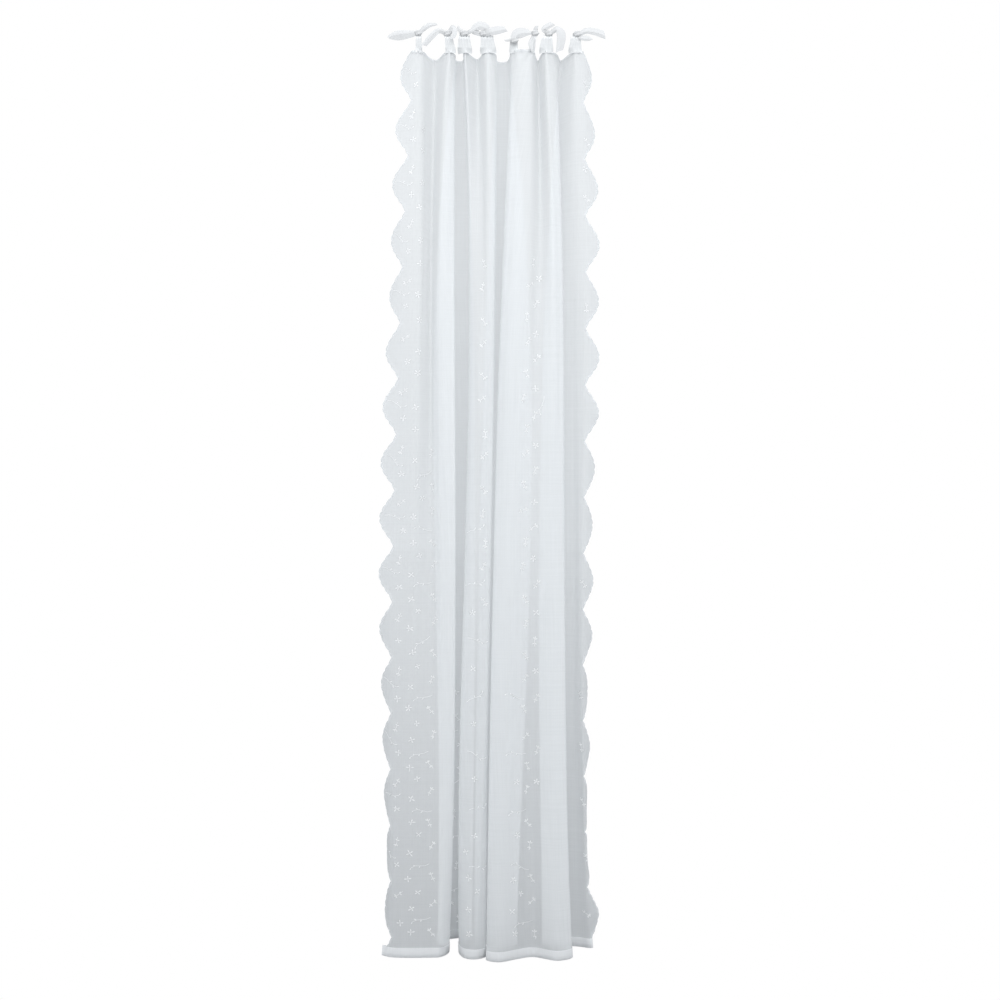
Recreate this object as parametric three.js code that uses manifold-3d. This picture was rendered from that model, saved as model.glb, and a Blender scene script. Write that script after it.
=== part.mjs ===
// A sheer curtain panel with scalloped sides, hung by eight knotted cloth ties.
// Millimetres. X runs along the rod, Y away from the room, Z up. The origin is the middle of the
// line that the rod's centre takes through the tie loops.
import * as THREE from "three";
import { mergeVertices } from "three/addons/utils/BufferGeometryUtils.js";
import Module from "manifold-3d";

const wasm = await Module();
wasm.setup();

// Driving sizes
const DROP = 2390; // top edge to finished hem
const TOP_Z = -22; // top edge, under the rod's centre line
const CLOTH = 1.6; // thickness of the panel and of a strap
const HEM = { depth: 26, thickness: 2.4 };
const SCALLOP = { start: -14.5, depth: 38, steps: 8, power: 1.3 }; // the first one starts above the top edge
const PITCH = { left: 147, right: 149.3 }; // of the scallops down each side
const COLUMNS_PER_FOLD_POINT = 3;
const SEAT_GAP = 0.3; // between the top edge and a tie's loop

// The folds, left to right as seen from the room. Each row is one fold line of the hanging cloth, and
// each pair is its x and its depth behind the rod line, read at four heights of the drop.
const READ_AT = [0, 0.275, 0.737, 1];
const FOLDS = [
  { name: "rim_left", top: [-213, 2], upper: [-247, -8], lower: [-274, -6], hem: [-271, -12] },
  { name: "wing_left", top: [-196, 0], upper: [-195, -12], lower: [-216, -16], hem: [-216, -18] },
  { name: "valley_1", top: [-158, 76], upper: [-168, 34], lower: [-164, -8], hem: [-164, -15] },
  { name: "ridge_1", top: [-119, 0], upper: [-143, -18], lower: [-132, -18], hem: [-143, -12] },
  { name: "turn_1", top: [-104, 26], upper: [-104, -10], lower: [-103, -10], hem: [-120, 30] },
  { name: "valley_2_left", top: [-102, 84], upper: [-158, 80], lower: [-150, 94], hem: [-153, 112] },
  { name: "valley_2_right", top: [-86, 86], upper: [-62, 112], lower: [-56, 126], hem: [-64, 146] },
  { name: "turn_2", top: [-77, 0], upper: [-64, 12], lower: [-88, -8], hem: [-93, 34] },
  { name: "slope_2", top: [-46, 70], upper: [-40, -6], lower: [-64, -18], hem: [-77, -20] },
  { name: "ridge_2", top: [-18, 0], upper: [-14, -14], lower: [-36, -24], hem: [-50, -30] },
  { name: "turn_3", top: [4, 26], upper: [2, -6], lower: [-15, -12], hem: [-21, -8] },
  { name: "valley_3_left", top: [12, 92], upper: [-18, 96], lower: [-46, 84], hem: [-52, 80] },
  { name: "valley_3_right", top: [33, 92], upper: [94, 92], lower: [84, 84], hem: [60, 80] },
  { name: "turn_4", top: [52, 0], upper: [20, 0], lower: [-10, -26], hem: [-20, -34] },
  { name: "ridge_3", top: [77, -8], upper: [46, -34], lower: [22, -38], hem: [13, -52] },
  { name: "slope_4", top: [100, 0], upper: [92, -32], lower: [68, -32], hem: [60, -28] },
  { name: "valley_4", top: [118, 84], upper: [122, -14], lower: [106, -22], hem: [102, -10] },
  { name: "ridge_4", top: [136, 0], upper: [156, -34], lower: [158, -34], hem: [169, -40] },
  { name: "turn_5", top: [162, 20], upper: [182, -8], lower: [189, -18], hem: [207, -12] },
  { name: "valley_5", top: [180, 84], upper: [138, 82], lower: [122, 78], hem: [132, 80] },
  { name: "wing_right", top: [214, 0], upper: [211, 38], lower: [214, 70], hem: [228, 74] },
  { name: "rim_right", top: [233, 5], upper: [246, 22], lower: [239, 46], hem: [261, 62] },
];
const LAST = FOLDS.length + 1; // a side edge lies outside each rim
const INNER = 1 + 1 / COLUMNS_PER_FOLD_POINT; // fold points from a side edge to the first plain column

// The loop that takes the rod, seen along X: how far its foot and its widest place lie above its lowest
// point, and its shoulder under its top, where it is gathered to a share of its width
const LOOP = {
  halfDepth: 13.5, footDepth: 10.8, shoulderDepth: 12.2,
  top: 18, foot: 5, widest: 15, shoulder: 7, gather: 0.6, steps: 16,
};
const KNOT = { radius: 8, stretch: [1.25, 0.9, 1.05], around: 10, rings: 7 };
const END_STEPS = 8;

// The ties, left to right. x is where the loop sits on the top edge, lean is how far its top stands
// to the right of that, and each end is a route of points [x, y, z, width] from the knot to its tip.
const TIES = [
  {
    name: "tie_1", x: -198, width: 18, lean: -1, knot: [-200, -10, 20],
    ends: [
      [[-203, -12, 20, 13], [-230, -20, 14, 23], [-256, -22, 10, 25], [-277, -22, 4, 9]],
      [[-196, -12, 22, 11], [-181, -18, 32, 14], [-168, -19, 39, 12], [-149, -18, 41, 5]],
    ],
  },
  {
    name: "tie_2", x: -114, width: 28, lean: -7, knot: [-123, -10, 19],
    ends: [
      [[-126, -12, 18, 10], [-144, -24, 22, 14], [-162, -27, 8, 16], [-184, -27, -18, 14]],
      [[-118, -12, 19, 12], [-108, -20, 31, 16], [-103, -24, 18, 14], [-108, -27, 0, 9]],
    ],
  },
  {
    name: "tie_3", x: -77, width: 40, lean: -2, knot: [-79, -10, 19],
    ends: [
      [[-82, -12, 19, 10], [-89, -10, 28, 12], [-96, -8, 38, 7]],
      [[-75, -12, 17, 10], [-65, -24, 19, 12], [-54, -29, 22, 9]],
    ],
  },
  {
    name: "tie_4", x: -15, width: 44, lean: -4, knot: [-29, -12, 18],
    ends: [
      [[-32, -14, 15, 10], [-52, -19, 24, 18], [-39, -20, 37, 23], [-20, -20, 31, 20], [-22, -16, 17, 12]],
      [[-25, -14, 12, 10], [-12, -22, 20, 20], [10, -24, 24, 22], [31, -24, 27, 15]],
    ],
  },
  {
    name: "tie_5", x: 52, width: 24, lean: 1, knot: [53, -18, -2],
    ends: [
      [[50, -19, -1, 9], [40, -19, -1, 8], [28, -20, -3, 5]],
      [[50, -19, 0, 12], [60, -22, 14, 28], [80, -23, 19, 24], [98, -23, 17, 8]],
    ],
  },
  {
    name: "tie_6", x: 100, width: 17, lean: 6, knot: [108, -10, 20],
    ends: [
      [[108, -12, 21, 12], [110, -16, 30, 11], [113, -17, 37, 7]],
      [[106, -12, 14, 10], [97, -19, -10, 14], [101, -20, -29, 6]],
    ],
  },
  {
    name: "tie_7", x: 138, width: 38, lean: 2, knot: [145, -10, 19],
    ends: [
      [[141, -12, 19, 10], [131, -17, 28, 13], [141, -18, 36, 16], [155, -18, 43, 13]],
      [[149, -12, 19, 11], [165, -21, 27, 17], [177, -24, 10, 24], [172, -24, -32, 18]],
    ],
  },
  {
    name: "tie_8", x: 214, width: 36, lean: 2, knot: [219, -12, 17],
    ends: [
      [[223, -14, 13, 11], [240, -19, 23, 16], [264, -21, 21, 19], [291, -22, 12, 21]],
      [[222, -14, 8, 8], [241, -19, 4, 15], [258, -20, 2, 6]],
    ],
  },
];

// How much of each scallop shows beside its rim line, top to bottom, as the side edges turn from the room
const SHOWS = {
  left: [0.85, 0.95, 0.95, 0.85, 0.8, 0.9, 0.97, 0.98, 0.97, 0.95, 0.85, 0.7, 0.6, 0.5, 0.3, 0.45, 0.9],
  right: [0.65, 0.76, 0.9, 0.95, 0.9, 0.95, 0.96, 0.75, 0.65, 0.75, 0.7, 0.35, 0.5, 0.2, 0, 0.75, 0.6],
};

// Share of each of the four read heights at a fraction down the drop
function readShares(down) {
  return READ_AT.map((at, i) =>
    READ_AT.reduce((share, other, j) => (i === j ? share : (share * (down - other)) / (at - other)), 1));
}

// A side edge, a scallop's depth from its rim line and turned from the room until the listed share shows
function edgePoint(rim, side, down) {
  const shows = SHOWS[side];
  const scallop = (down * DROP - SCALLOP.start) / PITCH[side] - 0.5;
  const at = THREE.MathUtils.clamp(scallop, 0, shows.length - 1);
  const above = Math.min(Math.floor(at), shows.length - 2);
  const share = THREE.MathUtils.lerp(shows[above], shows[above + 1], at - above);
  const out = side === "left" ? -SCALLOP.depth * share : SCALLOP.depth * share;
  const away = SCALLOP.depth * Math.sqrt(Math.max(0, 1 - share * share));
  return new THREE.Vector3(rim.x + out, rim.y + away, rim.z);
}

// The cloth's section at a fraction down the drop, as one smooth line through its fold points
function sectionAt(down) {
  const shares = readShares(down);
  const points = FOLDS.map((fold) => {
    const reads = [fold.top, fold.upper, fold.lower, fold.hem];
    const x = reads.reduce((sum, read, i) => sum + read[0] * shares[i], 0);
    const depth = reads.reduce((sum, read, i) => sum + read[1] * shares[i], 0);
    return new THREE.Vector3(x, depth, TOP_Z - down * DROP);
  });
  const left = edgePoint(points[0], "left", down);
  const right = edgePoint(points[points.length - 1], "right", down);
  return new THREE.CatmullRomCurve3([left, ...points, right], false, "centripetal");
}

function clothPoint(across, down) {
  return sectionAt(down).getPoint(across / LAST);
}

// Unit vector out of the cloth towards the room
function clothNormal(across, down) {
  const nudge = 0.02;
  const left = clothPoint(Math.max(across - nudge, 0), down);
  const right = clothPoint(Math.min(across + nudge, LAST), down);
  const above = clothPoint(across, Math.max(down - nudge, 0));
  const below = clothPoint(across, Math.min(down + nudge, 1));
  return right.sub(left).cross(above.sub(below)).normalize();
}

// How far in from the tip of a scallop the side edge lies, from 0 at a tip to 1 at a notch
function scallopInset(distance, side) {
  const turn = (Math.PI * (distance - SCALLOP.start)) / PITCH[side];
  return 1 - Math.abs(Math.sin(turn)) ** SCALLOP.power;
}

// Distances down the cloth from its top edge to the hem's seam and edge, in even steps from the first
// scallop's start, without a step that would lie too close to either end
function distancesDown(step) {
  const seam = DROP - HEM.depth;
  const count = Math.ceil((seam - SCALLOP.start) / step);
  const steps = Array.from({ length: count }, (_, k) => SCALLOP.start + k * step);
  const clear = Math.min(step, HEM.depth) / 3;
  return [0, ...steps.filter((distance) => distance > clear && distance < seam - clear), seam, DROP];
}

// The cloth's middle surface as points, triangles and the loop of points round its edge
function clothSurface() {
  const points = [];
  const triangles = [];
  const addPoint = (across, distance) => points.push({ across, distance }) - 1;
  const rows = distancesDown(PITCH.left);
  const columns = Math.round((LAST - 2 * INNER) * COLUMNS_PER_FOLD_POINT);
  const grid = rows.map((distance) =>
    Array.from({ length: columns + 1 }, (_, column) =>
      addPoint(INNER + column / COLUMNS_PER_FOLD_POINT, distance)));
  for (let row = 0; row + 1 < rows.length; row += 1) {
    for (let column = 0; column < columns; column += 1) {
      const [a, b] = [grid[row][column], grid[row][column + 1]];
      const [c, d] = [grid[row + 1][column], grid[row + 1][column + 1]];
      triangles.push([a, c, b], [b, c, d]);
    }
  }

  // Triangles between the plain rows' ends and the scallops beside them, each edge step on its nearer row
  const scallopedSide = (inner, side) => {
    const flip = side === "right";
    const add = (a, b, c) => triangles.push(flip ? [a, c, b] : [a, b, c]);
    const distances = distancesDown(PITCH[side] / SCALLOP.steps);
    const edge = distances.map((distance) => {
      const inset = scallopInset(distance, side);
      return addPoint(flip ? LAST - inset : inset, distance);
    });
    let row = 0;
    const nextRow = (step) => {
      add(inner[row], edge[step], inner[row + 1]);
      row += 1;
    };
    for (let step = 0; step + 1 < edge.length; step += 1) {
      while (row + 1 < rows.length && distances[step] > (rows[row] + rows[row + 1]) / 2) {
        nextRow(step);
      }
      add(inner[row], edge[step], edge[step + 1]);
    }
    while (row + 1 < rows.length) {
      nextRow(edge.length - 1);
    }
    return edge;
  };
  const left = scallopedSide(grid.map((row) => row[0]), "left");
  const right = scallopedSide(grid.map((row) => row[columns]), "right");
  const rim = [...left, ...grid[rows.length - 1], ...right.reverse(), ...grid[0].slice().reverse()];
  return { points, triangles, rim };
}

function geometryFrom(vertices, triangles) {
  const geometry = new THREE.BufferGeometry();
  geometry.setAttribute("position", new THREE.BufferAttribute(new Float32Array(vertices), 3));
  geometry.setIndex(triangles);
  geometry.computeVertexNormals();
  return geometry;
}

// The panel: its middle surface given a front and a back, closed round the rim
function panelGeometry() {
  const { points, triangles, rim } = clothSurface();
  const faces = [1, -1].map((side) =>
    points.map(({ across, distance }) => {
      const down = distance / DROP;
      const thickness = distance > DROP - HEM.depth ? HEM.thickness : CLOTH;
      const shift = clothNormal(across, down).setZ(0).normalize().multiplyScalar((side * thickness) / 2);
      return clothPoint(across, down).add(shift);
    }));
  const vertices = faces.flat().flatMap((point) => point.toArray());
  const back = points.length;
  const indices = [];
  triangles.forEach(([a, b, c]) => indices.push(a, b, c, a + back, c + back, b + back));
  rim.forEach((point, i) => {
    const next = rim[(i + 1) % rim.length];
    indices.push(point, point + back, next, next, point + back, next + back);
  });
  return geometryFrom(vertices, indices);
}

// A flat strap along a curve: its width lies along the given direction, its thickness across that
function strapGeometry(curve, steps, closed, widthAt, acrossAt) {
  const vertices = [];
  const indices = [];
  const sections = closed ? steps : steps + 1;
  for (let i = 0; i < sections; i += 1) {
    const at = i / steps;
    const middle = curve.getPoint(at);
    const along = curve.getTangent(at);
    const across = acrossAt(along).multiplyScalar(widthAt(at) / 2);
    const out = along.clone().cross(across).normalize().multiplyScalar(CLOTH / 2);
    [[1, 1], [-1, 1], [-1, -1], [1, -1]].forEach(([wide, thick]) => {
      vertices.push(...middle.clone().addScaledVector(across, wide).addScaledVector(out, thick));
    });
  }
  const corner = (section, k) => (section % sections) * 4 + (k % 4);
  for (let i = 0; i < steps; i += 1) {
    for (let k = 0; k < 4; k += 1) {
      indices.push(corner(i, k), corner(i, k + 1), corner(i + 1, k));
      indices.push(corner(i, k + 1), corner(i + 1, k + 1), corner(i + 1, k));
    }
  }
  if (!closed) {
    indices.push(0, 2, 1, 0, 3, 2);
    indices.push(corner(steps, 0), corner(steps, 1), corner(steps, 2));
    indices.push(corner(steps, 0), corner(steps, 2), corner(steps, 3));
  }
  return geometryFrom(vertices, indices);
}

// The loop round the rod's place, resting on the top edge
function loopGeometry(tie) {
  const low = TOP_Z + SEAT_GAP + CLOTH / 2;
  const front = [
    [-LOOP.footDepth, low + LOOP.foot],
    [-LOOP.halfDepth, low + LOOP.widest],
    [-LOOP.shoulderDepth, LOOP.top - LOOP.shoulder],
  ];
  const back = front.map(([y, z]) => [-y, z]).reverse();
  const points = [[0, low], ...front, [0, LOOP.top], ...back].map(([y, z]) => {
    const leaning = (tie.lean * (z - low)) / (LOOP.top - low);
    return new THREE.Vector3(tie.x + leaning, y, z);
  });
  const curve = new THREE.CatmullRomCurve3(points, true, "centripetal");
  const widthAt = (at) => {
    const rise = (curve.getPoint(at).z - low) / (LOOP.top - low);
    return tie.width * THREE.MathUtils.lerp(1, LOOP.gather, rise);
  };
  return strapGeometry(curve, LOOP.steps, true, widthAt, () => new THREE.Vector3(1, 0, 0));
}

function knotGeometry(tie) {
  const geometry = new THREE.SphereGeometry(KNOT.radius, KNOT.around, KNOT.rings);
  geometry.scale(...KNOT.stretch);
  geometry.translate(...tie.knot);
  return geometry;
}

// One free end or bow loop, its face turned to the room
function endGeometry(route) {
  const curve = new THREE.CatmullRomCurve3(route.map(([x, y, z]) => new THREE.Vector3(x, y, z)));
  const last = route.length - 1;
  const widthAt = (at) => {
    const step = Math.min(Math.floor(at * last), last - 1);
    return THREE.MathUtils.lerp(route[step][3], route[step + 1][3], at * last - step);
  };
  const towardsRoom = new THREE.Vector3(0, -1, 0);
  return strapGeometry(curve, END_STEPS, false, widthAt, (along) => along.clone().cross(towardsRoom).normalize());
}

function solidFrom(geometry) {
  const bare = geometry.clone();
  bare.deleteAttribute("normal");
  bare.deleteAttribute("uv");
  const merged = mergeVertices(bare);
  const vertProperties = merged.getAttribute("position").array;
  const triVerts = new Uint32Array(merged.getIndex().array);
  return new wasm.Manifold(new wasm.Mesh({ numProp: 3, vertProperties, triVerts }));
}

// A tie: loop, knot and free ends joined into one piece of cloth
function tieGeometry(tie) {
  const pieces = [loopGeometry(tie), knotGeometry(tie), ...tie.ends.map(endGeometry)];
  const solid = pieces.map(solidFrom).reduce((joined, piece) => joined.add(piece));
  const mesh = solid.getMesh();
  return geometryFrom(mesh.vertProperties, Array.from(mesh.triVerts));
}

const sheer = new THREE.MeshStandardMaterial({ color: 0xdfe4e8, roughness: 0.9, metalness: 0 });
const strap = new THREE.MeshStandardMaterial({ color: 0xe6e8ea, roughness: 0.9, metalness: 0 });

function piece(name, geometry, material) {
  const mesh = new THREE.Mesh(geometry, material);
  mesh.name = name;
  return mesh;
}

const curtain = new THREE.Group();
curtain.add(piece("panel", panelGeometry(), sheer));
TIES.forEach((tie) => curtain.add(piece(tie.name, tieGeometry(tie), strap)));

export default curtain;
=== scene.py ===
import math

import bpy
import numpy as np
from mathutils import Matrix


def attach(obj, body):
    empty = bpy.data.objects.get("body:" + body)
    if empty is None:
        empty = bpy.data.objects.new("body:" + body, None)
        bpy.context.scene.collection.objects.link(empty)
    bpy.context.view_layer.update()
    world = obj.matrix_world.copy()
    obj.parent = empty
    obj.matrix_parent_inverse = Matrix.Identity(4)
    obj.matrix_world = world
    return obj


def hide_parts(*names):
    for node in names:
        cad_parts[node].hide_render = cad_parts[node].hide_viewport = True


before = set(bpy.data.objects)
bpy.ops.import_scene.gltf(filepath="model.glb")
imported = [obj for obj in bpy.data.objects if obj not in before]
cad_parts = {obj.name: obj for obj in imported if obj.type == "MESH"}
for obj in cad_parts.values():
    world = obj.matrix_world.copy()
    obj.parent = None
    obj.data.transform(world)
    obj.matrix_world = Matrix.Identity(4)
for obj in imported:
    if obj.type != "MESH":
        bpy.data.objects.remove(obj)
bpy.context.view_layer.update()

# A sheer tie-top curtain panel: woven cloth, embroidered sprigs, satin-stitched scallops, a doubled hem
# and eight knotted ties. Shapes are worked out in millimetres in the part's frame and scaled as they are
# made into meshes. X runs along the rod, Y away from the room, Z up.
MM = 0.001

# Cloth
DROP = 2390.0
TOP_Z = -22.0
FLAT_WIDTH = 1400.0
HEM_DEPTH = 26.0
HEADING_DEPTH = 7.0
LAYER_GAP = 0.9  # between the panel and a turned layer, which bellies out in its middle and rounds its edge
LAYER_BELLY = 1.3
LAYER_ROUND = 1.0
TURN = {"columns": 521, "inset": 1.0}
SCALLOP = {"start": -14.5, "depth": 38.0, "power": 1.3, "round": 0.12, "ripples": 8, "ripple_depth": 2.8}
PITCH = {"left": 147.0, "right": 149.3}
RIM = {"width": 4.4, "profile": [(-0.5, 0.15), (0.9, 0.4), (2.2, 0.45), (3.4, 0.35), (4.4, 0.15)]}
THREAD_LIFT = 0.25
THREAD_CROWN = 0.2
STITCH = {"pitch": 3.4, "length": 2.5, "width": 0.7, "lift": 0.5, "end_gap": 2.0, "edge_gap": 1.5}

# Fold lines, left to right: x and depth behind the rod line at four heights of the drop
READ_AT = (0.0, 0.275, 0.737, 1.0)
FOLDS = {
    "rim_left": ((-213, 2), (-247, -8), (-274, -6), (-271, -12)),
    "wing_left": ((-196, 0), (-195, -12), (-216, -16), (-216, -18)),
    "valley_1": ((-158, 76), (-168, 34), (-164, -8), (-164, -15)),
    "ridge_1": ((-119, 0), (-143, -18), (-132, -18), (-143, -12)),
    "turn_1": ((-104, 26), (-104, -10), (-103, -10), (-120, 30)),
    "valley_2_left": ((-102, 84), (-158, 80), (-150, 94), (-153, 112)),
    "valley_2_right": ((-86, 86), (-62, 112), (-56, 126), (-64, 146)),
    "turn_2": ((-77, 0), (-64, 12), (-88, -8), (-93, 34)),
    "slope_2": ((-46, 70), (-40, -6), (-64, -18), (-77, -20)),
    "ridge_2": ((-18, 0), (-14, -14), (-36, -24), (-50, -30)),
    "turn_3": ((4, 26), (2, -6), (-15, -12), (-21, -8)),
    "valley_3_left": ((12, 92), (-18, 96), (-46, 84), (-52, 80)),
    "valley_3_right": ((33, 92), (94, 92), (84, 84), (60, 80)),
    "turn_4": ((52, 0), (20, 0), (-10, -26), (-20, -34)),
    "ridge_3": ((77, -8), (46, -34), (22, -38), (13, -52)),
    "slope_4": ((100, 0), (92, -32), (68, -32), (60, -28)),
    "valley_4": ((118, 84), (122, -14), (106, -22), (102, -10)),
    "ridge_4": ((136, 0), (156, -34), (158, -34), (169, -40)),
    "turn_5": ((162, 20), (182, -8), (189, -18), (207, -12)),
    "valley_5": ((180, 84), (138, 82), (122, 78), (132, 80)),
    "wing_right": ((214, 0), (211, 38), (214, 70), (228, 74)),
    "rim_right": ((233, 5), (246, 22), (239, 46), (261, 62)),
}
FOLD_READS = np.array([FOLDS["rim_left"], *FOLDS.values(), FOLDS["rim_right"]], dtype=float)
LAST = len(FOLD_READS) - 1

# How much of each scallop shows beside its rim line, top to bottom, as the side edges turn from the room
SHOWS = {
    "left": [0.85, 0.95, 0.95, 0.85, 0.8, 0.9, 0.97, 0.98, 0.97, 0.95, 0.85, 0.7, 0.6, 0.5, 0.3, 0.45, 0.9],
    "right": [0.65, 0.76, 0.9, 0.95, 0.9, 0.95, 0.96, 0.75, 0.65, 0.75, 0.7, 0.35, 0.5, 0.2, 0, 0.75, 0.6],
}

# Soft creases: where across the folds, from and to how far down, half width and depth
CREASES = [
    {"across": 2.35, "start": 40, "end": 900, "half": 9, "depth": -2.2},
    {"across": 2.75, "start": 800, "end": 2300, "half": 14, "depth": 1.6},
    {"across": 3.60, "start": 900, "end": 2390, "half": 10, "depth": -1.8},
    {"across": 4.40, "start": 150, "end": 1700, "half": 6, "depth": 2.0},
    {"across": 9.45, "start": 200, "end": 1500, "half": 8, "depth": -2.2},
    {"across": 10.35, "start": 100, "end": 2390, "half": 6, "depth": 1.8},
    {"across": 14.60, "start": 60, "end": 1300, "half": 7, "depth": -1.8},
    {"across": 15.50, "start": 350, "end": 2100, "half": 10, "depth": 2.2},
    {"across": 16.45, "start": 500, "end": 2390, "half": 12, "depth": -2.0},
    {"across": 17.50, "start": 700, "end": 2000, "half": 10, "depth": 1.5},
    {"across": 18.40, "start": 0, "end": 1100, "half": 7, "depth": -2.0},
    {"across": 21.40, "start": 300, "end": 1900, "half": 9, "depth": 2.0},
]
CREASE_STRAY = {"reach": 5.0, "length": 210.0, "phase": 3.0}
CREASE_FADE = {"length": 160.0, "left": 0.2}
PUCKER = {"depth": 2.4, "reach": 75.0, "count": 9, "above": 12.0}
UNEVEN = {"depth": 0.9, "across": 31.0, "across_lean": 420.0, "down": 260.0, "down_lean": 90.0}

# Ties, left to right: the fold each sits on, its strap, its knot and the routes of its free ends, whose
# points are x, y, z and width
TIES = [
    {"name": "tie_1", "fold": 2, "x": -198, "width": 18, "lean": -1, "knot": (-200, -10, 20), "ends": [
        [(-203, -12, 20, 13), (-230, -20, 14, 23), (-256, -22, 10, 25), (-277, -22, 4, 9)],
        [(-196, -12, 22, 11), (-181, -18, 32, 14), (-168, -19, 39, 12), (-149, -18, 41, 5)]]},
    {"name": "tie_2", "fold": 4, "x": -114, "width": 28, "lean": -7, "knot": (-123, -10, 19), "ends": [
        [(-126, -12, 18, 10), (-144, -24, 22, 14), (-162, -27, 8, 16), (-184, -27, -18, 14)],
        [(-118, -12, 19, 12), (-108, -20, 31, 16), (-103, -24, 18, 14), (-108, -27, 0, 9)]]},
    {"name": "tie_3", "fold": 8, "x": -77, "width": 40, "lean": -2, "knot": (-79, -10, 19), "ends": [
        [(-82, -12, 19, 10), (-89, -10, 28, 12), (-96, -8, 38, 7)],
        [(-75, -12, 17, 10), (-65, -24, 19, 12), (-54, -29, 22, 9)]]},
    {"name": "tie_4", "fold": 10, "x": -15, "width": 44, "lean": -4, "knot": (-29, -12, 18), "ends": [
        [(-32, -14, 15, 10), (-52, -19, 24, 18), (-39, -20, 37, 23), (-20, -20, 31, 20), (-22, -16, 17, 12)],
        [(-25, -14, 12, 10), (-12, -22, 20, 20), (10, -24, 24, 22), (31, -24, 27, 15)]]},
    {"name": "tie_5", "fold": 14, "x": 52, "width": 24, "lean": 1, "knot": (53, -18, -2), "ends": [
        [(50, -19, -1, 9), (40, -19, -1, 8), (28, -20, -3, 5)],
        [(50, -19, 0, 12), (60, -22, 14, 28), (80, -23, 19, 24), (98, -23, 17, 8)]]},
    {"name": "tie_6", "fold": 16, "x": 100, "width": 17, "lean": 6, "knot": (108, -10, 20), "ends": [
        [(108, -12, 21, 12), (110, -16, 30, 11), (113, -17, 37, 7)],
        [(106, -12, 14, 10), (97, -19, -10, 14), (101, -20, -29, 6)]]},
    {"name": "tie_7", "fold": 18, "x": 138, "width": 38, "lean": 2, "knot": (145, -10, 19), "ends": [
        [(141, -12, 19, 10), (131, -17, 28, 13), (141, -18, 36, 16), (155, -18, 43, 13)],
        [(149, -12, 19, 11), (165, -21, 27, 17), (177, -24, 10, 24), (172, -24, -32, 18)]]},
    {"name": "tie_8", "fold": 21, "x": 214, "width": 36, "lean": 2, "knot": (219, -12, 17), "ends": [
        [(223, -14, 13, 11), (240, -19, 23, 16), (264, -21, 21, 19), (291, -22, 12, 21)],
        [(222, -14, 8, 8), (241, -19, 4, 15), (258, -20, 2, 6)]]},
]
# A strap's loop, seen along the rod. The waist and middle are a share of the half depth and a height over the
# foot, the shoulder is a share and a height under the top, and widths are shares of the strap's own
LOOP = {
    "half_depth": 13.5, "top": 18.0, "seat": 0.3, "cloth": 1.6, "steps": 60,
    "sewn": 7.0, "foot_stand": 2.3, "edge_stand": 3.1, "gather": 0.74, "flare": 1.02,
    "waist": (0.45, 8.0), "middle": (0.74, 18.0), "shoulder": (0.93, 9.0),
}
# How closely a strap's foot follows the fold that it is sewn to
HUG = {"above": 6.0, "length": 12.0, "front": 0.6, "front_sideways": 0.15}
STRAP_PARTS = np.linspace(-0.5, 0.5, 25)
PLEATS = {"count": 4.5, "foot": 0.008, "top": 0.05, "phase": 0.6}
END_FOLD = {"ridge": 0.1, "slope": 0.26, "soft": 0.03, "skew": 0.55, "skew_power": 6, "steps": 28}
KNOT = {
    "half": (10.4, 7.4, 8.8), "turns": 0.15, "round_turns": 2, "down_turns": 5, "cloth": 900.0,
    "rings": 17, "around": 32, "pole": 0.02,
}

# Camera, at the photo's angle: straight on, a little right of the middle and half way down, in metres
VIEW = {"x": 0.016, "distance": 3.6, "z": -1.209, "width": 2.64, "sensor": 36.0}

# The stage: a floor that gives back more light further off, its colour painted darker near the cloth as
# painted shade; a dim room behind the cloth, as seen through it, a glowing grey of painted shade; and the
# room that lights it. The open ground beside the cloth stays white
# The floor's near colour, given back as light to the cloth, is painted shade round the cloth's foot
FLOOR = {"half": 30.0, "gap": 0.05, "near": (0.17, 0.175, 0.18), "far": (0.70, 0.71, 0.72), "fade": 4.0}
# What shows through the cloth is a glowing grey of painted shade: darkest near the cloth's foot, lighter
# further off and higher up
PAINTED_SHADE_BEHIND = {"near": (0.215, 0.23, 0.245), "far": (0.525, 0.55, 0.57), "high": (0.60, 0.62, 0.635), "rise": 0.2}
ROOM = {"front": (1.45, 1.48, 1.51), "back": (1.06, 1.09, 1.12), "turn": 0.5}
WHITE = (1, 1, 1)
KEY_LIGHT = {"place": (0.2, -2.4, 0.9), "aim": (0.0, 0.0, -0.7), "size": (1.8, 1.4), "power": 30}


def read_shares(down):
    """Share of each of the four read heights at fractions down the drop."""
    shares = np.ones((len(READ_AT), len(down)))
    for i, at in enumerate(READ_AT):
        for j, other in enumerate(READ_AT):
            if i != j:
                shares[i] *= (down - other) / (at - other)
    return shares


def fold_points(fold, shares, distance):
    """Fold points at each distance, with the side edges turned about their rim lines."""
    points = np.einsum("nkc,kn->nc", FOLD_READS[fold], shares)
    for side, edge, outward in (("left", 0, -1), ("right", LAST, 1)):
        at = fold == edge
        middles = SCALLOP["start"] + (np.arange(len(SHOWS[side])) + 0.5) * PITCH[side]
        share = np.interp(distance[at], middles, SHOWS[side])
        points[at, 0] += SCALLOP["depth"] * share * outward
        points[at, 1] += SCALLOP["depth"] * np.sqrt(np.maximum(0, 1 - share**2))
    return points


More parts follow.
